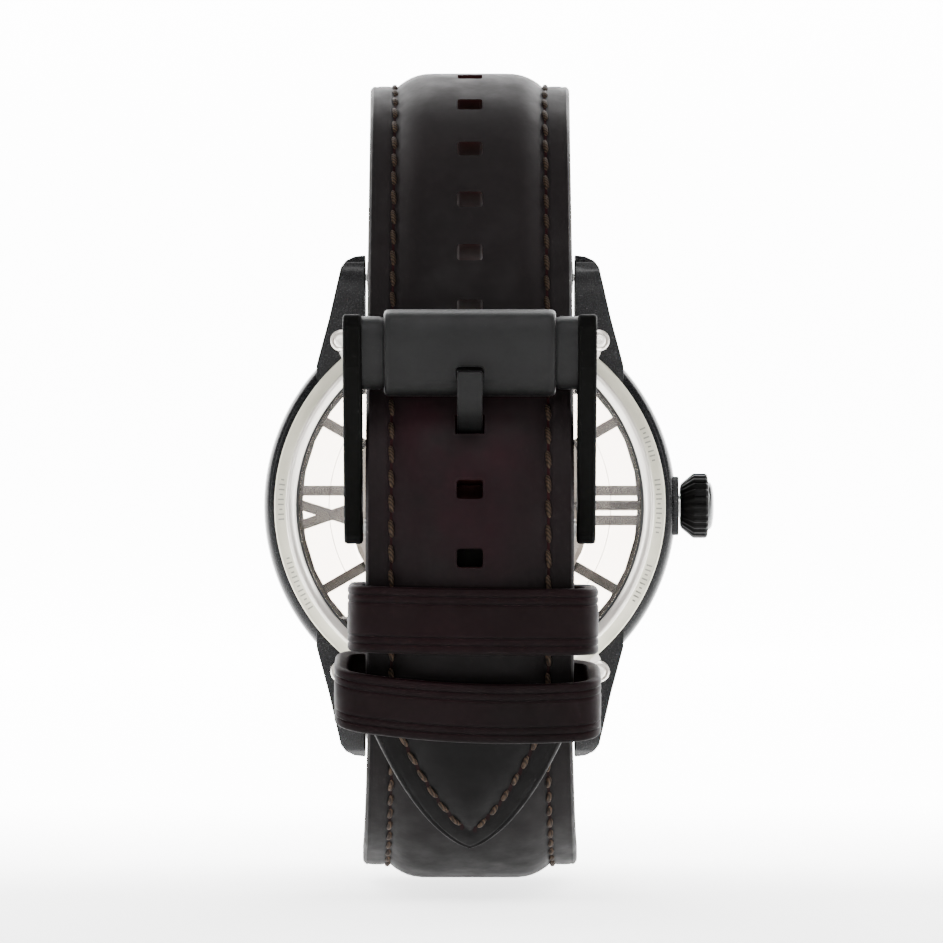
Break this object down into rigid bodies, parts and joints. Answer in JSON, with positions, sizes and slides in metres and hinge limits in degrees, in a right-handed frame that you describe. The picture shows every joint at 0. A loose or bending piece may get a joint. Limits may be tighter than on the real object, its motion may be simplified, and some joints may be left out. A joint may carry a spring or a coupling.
{
  "type": "wristwatch",
  "caption": "skeleton wristwatch with a round black case, clear back, fluted crown and a padded leather strap buckled into a loop",
  "frame": {"origin": "centre of the outer face of the case-back glass", "axes": "+X to the crown (three o'clock), +Y out of the dial, +Z to six o'clock; the strap loop lies on the -Y side"},
  "size_m": [0.0481, 0.0698, 0.0815],
  "materials": {
    "case_black": "gloss black coating",
    "buckle_black": "satin black coating",
    "back_steel": "bead-blasted and polished",
    "crown_cap_steel": "polished grey",
    "plain_steel": "brushed",
    "plate_nickel": "nickel plated",
    "wheel_brass": "gilt",
    "blued_steel": "heat blued",
    "hand_black": "satin black",
    "marker_grey": "dark grey",
    "glass_clear": "clear",
    "dial_clear": "clear plastic",
    "seal_rubber": "matt",
    "strap_leather": "smooth, dark brown",
    "keeper_leather": "smooth, dark burgundy brown"
  },
  "bodies": {
    "case": {"case_middle": "case_black", "bezel": "case_black", "front_crystal": "glass_clear", "front_crystal_gasket": "seal_rubber", "rehaut": "marker_grey", "dial_disc": "dial_clear", "dial_markers": "marker_grey", "case_back_ring": "back_steel", "back_crystal": "glass_clear", "back_crystal_gasket": "seal_rubber", "case_back_gasket": "seal_rubber", "case_back_screw_1": "back_steel", "case_back_screw_2": "back_steel", "case_back_screw_3": "back_steel", "case_back_screw_4": "back_steel", "crown_tube": "plain_steel", "movement_holder": "dial_clear", "mainplate": "plate_nickel", "barrel_bridge": "plate_nickel", "train_bridge": "plate_nickel", "balance_cock": "plate_nickel", "bridge_screw_1": "blued_steel", "bridge_screw_2": "blued_steel", "bridge_screw_3": "blued_steel", "hairspring": "blued_steel", "rotor_post": "plain_steel", "lug_spring_bar_6": "plain_steel", "lug_spring_bar_12": "plain_steel", "buckle_spring_bar": "plain_steel", "strap_long": "strap_leather", "strap_short": "strap_leather", "fixed_keeper": "keeper_leather"},
    "buckle": {"buckle_frame": "buckle_black"},
    "tang": {"buckle_tang": "buckle_black"},
    "sliding_loop": {"free_keeper": "keeper_leather"},
    "clutch": {"sliding_pinion": "plain_steel"},
    "crown_group": {"crown": "case_black", "crown_cap": "crown_cap_steel", "crown_gasket": "seal_rubber", "winding_stem": "plain_steel"},
    "setting": {"setting_lever": "plain_steel"},
    "crown_gear": {"crown_wheel": "plain_steel"},
    "ratchet": {"ratchet_wheel": "plain_steel"},
    "barrel": {"mainspring_barrel": "wheel_brass"},
    "centre": {"centre_wheel": "wheel_brass", "cannon_pinion": "plain_steel", "minute_hand": "hand_black"},
    "third": {"third_wheel": "wheel_brass"},
    "fourth": {"fourth_wheel": "wheel_brass", "second_hand": "plain_steel"},
    "escape": {"escape_wheel": "plain_steel"},
    "pallet": {"pallet_fork": "plain_steel"},
    "balance": {"balance_wheel": "wheel_brass"},
    "minute_work": {"minute_wheel": "wheel_brass"},
    "hour": {"hour_wheel": "wheel_brass", "hour_hand": "hand_black"},
    "rotor": {"rotor": "plain_steel"}
  },
  "joints": [
    {"name": "seconds_turn", "type": "hinge", "parent": "case", "child": "fourth", "pos_m": [0, 0.004, 0], "axis": [0, -1, 0], "continuous": true},
    {"name": "centre_turn", "type": "hinge", "parent": "case", "child": "centre", "pos_m": [0, 0.005, 0], "axis": [0, -1, 0], "continuous": true},
    {"name": "third_turn", "type": "hinge", "parent": "case", "child": "third", "pos_m": [-0.00383, 0.0045, -0.00268], "axis": [0, -1, 0], "continuous": true},
    {"name": "escape_turn", "type": "hinge", "parent": "case", "child": "escape", "pos_m": [0.00234, 0.0045, -0.00405], "axis": [0, -1, 0], "continuous": true},
    {"name": "barrel_turn", "type": "hinge", "parent": "case", "child": "barrel", "pos_m": [-0.00351, 0.005, 0.00418], "axis": [0, -1, 0], "continuous": true},
    {"name": "minute_wheel_turn", "type": "hinge", "parent": "case", "child": "minute_work", "pos_m": [0.00361, 0.007, 0.00131], "axis": [0, -1, 0], "continuous": true},
    {"name": "hour_turn", "type": "hinge", "parent": "case", "child": "hour", "pos_m": [0, 0.0075, 0], "axis": [0, -1, 0], "continuous": true},
    {"name": "crown_turn", "type": "hinge", "parent": "case", "child": "clutch", "pos_m": [0.006, 0.0044, 0], "axis": [1, 0, 0], "continuous": true},
    {"name": "crown_pull", "type": "slide", "parent": "clutch", "child": "crown_group", "axis": [1, 0, 0], "range_m": [0, 0.0012]},
    {"name": "setting_lever_turn", "type": "hinge", "parent": "case", "child": "setting", "pos_m": [0.0092, 0.005, 0.0041], "axis": [0, 1, 0], "range_deg": [-20.5, 0]},
    {"name": "crown_wheel_turn", "type": "hinge", "parent": "case", "child": "crown_gear", "pos_m": [0.00355, 0.0027, 0.00229], "axis": [0, 1, 0], "continuous": true},
    {"name": "ratchet_turn", "type": "hinge", "parent": "case", "child": "ratchet", "pos_m": [-0.00351, 0.0027, 0.00418], "axis": [0, 1, 0], "continuous": true},
    {"name": "balance_swing", "type": "hinge", "parent": "case", "child": "balance", "pos_m": [0.00566, 0.0042, -0.00566], "axis": [0, -1, 0], "range_deg": [-270, 270], "stiffness_Nm_per_rad": 0.00000018},
    {"name": "pallet_swing", "type": "hinge", "parent": "case", "child": "pallet", "pos_m": [0.00432, 0.005, -0.00501], "axis": [0, -1, 0], "range_deg": [-3, 3]},
    {"name": "rotor_swing", "type": "hinge", "parent": "case", "child": "rotor", "pos_m": [0, 0.002, 0], "axis": [0, -1, 0], "continuous": true},
    {"name": "buckle_rock", "type": "hinge", "parent": "case", "child": "buckle", "pos_m": [0, -0.0506, -0.0018], "axis": [1, 0, 0], "range_deg": [0, 1.5]},
    {"name": "tang_rock", "type": "hinge", "parent": "case", "child": "tang", "pos_m": [0, -0.0506, -0.0018], "axis": [1, 0, 0], "range_deg": [0, 1.5]},
    {"name": "sliding_loop_slide", "type": "hinge", "parent": "case", "child": "sliding_loop", "pos_m": [0, -0.02097, -0.00441], "axis": [1, 0, 0], "range_deg": [-0.5, 9]}
  ],
  "couplings": [
    {"joint": "centre_turn", "follows": "seconds_turn", "ratio": 0.016667},
    {"joint": "third_turn", "follows": "seconds_turn", "ratio": -0.13333},
    {"joint": "escape_turn", "follows": "seconds_turn", "ratio": -12},
    {"joint": "barrel_turn", "follows": "seconds_turn", "ratio": -0.0027778},
    {"joint": "minute_wheel_turn", "follows": "seconds_turn", "ratio": -0.0055556},
    {"joint": "hour_turn", "follows": "seconds_turn", "ratio": 0.0013889},
    {"joint": "setting_lever_turn", "follows": "crown_pull", "rad_per_m": -290},
    {"joint": "crown_wheel_turn", "follows": "crown_turn", "ratio": 0.325},
    {"joint": "ratchet_turn", "follows": "crown_turn", "ratio": -0.28261},
    {"joint": "tang_rock", "follows": "buckle_rock", "ratio": 1}
  ]
}
